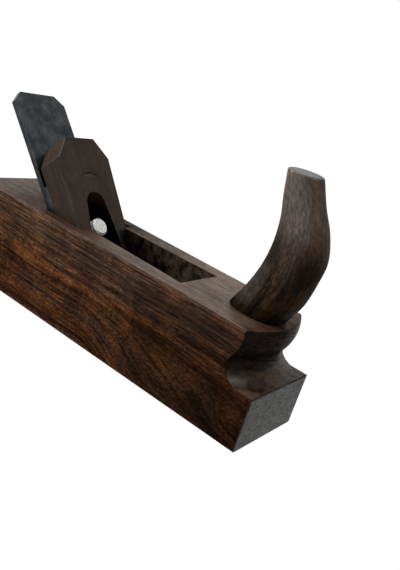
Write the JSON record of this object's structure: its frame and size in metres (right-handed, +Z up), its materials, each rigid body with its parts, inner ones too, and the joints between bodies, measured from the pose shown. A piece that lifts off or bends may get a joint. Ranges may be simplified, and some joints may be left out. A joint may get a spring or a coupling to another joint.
{
  "type": "wooden hand plane",
  "caption": "Wooden horned smoothing plane: moulded toe, open throat, double iron held by a two-legged wedge, and a carved horn to grip in front.",
  "frame": {"origin": "middle of the sole's full length and width, on the sole's plane", "axes": "+X to the toe, where the horn stands, +Y across the sole, +Z up from the sole"},
  "size_m": [0.25, 0.063, 0.148],
  "materials": {
    "stock": "oiled, satin",
    "horn": "oiled, satin",
    "horn_dowel": "bare beech",
    "horn_locating_pin": "bare beech",
    "wedge": "oiled, satin",
    "plane_iron": "dark ground steel",
    "cap_iron": "dark ground steel",
    "cap_screw": "bright turned steel",
    "cap_nut": "plain steel"
  },
  "bodies": {
    "plane_body": {"stock": "stock", "horn": "horn", "horn_dowel": "horn_dowel", "horn_locating_pin": "horn_locating_pin"},
    "wedge": {"wedge": "wedge"},
    "iron": {"plane_iron": "plane_iron"},
    "cap": {"cap_iron": "cap_iron", "cap_nut": "cap_nut"},
    "screw": {"cap_screw": "cap_screw"}
  },
  "joints": [
    {"name": "wedge_slide", "type": "slide", "parent": "plane_body", "child": "wedge", "axis": [-0.7071, 0, 0.7071], "range_m": [0, 0.065]},
    {"name": "iron_slide", "type": "slide", "parent": "plane_body", "child": "iron", "axis": [-0.7071, 0, 0.7071], "range_m": [-0.0008, 0.009]},
    {"name": "cap_slide", "type": "slide", "parent": "iron", "child": "cap", "axis": [-0.7071, 0, 0.7071], "range_m": [-0.0005, 0.004]},
    {"name": "screw_turn", "type": "hinge", "parent": "cap", "child": "screw", "pos_m": [-0.04334, 0, 0.05374], "axis": [0.7071, 0, 0.7071], "range_deg": [0, 360]}
  ]
}
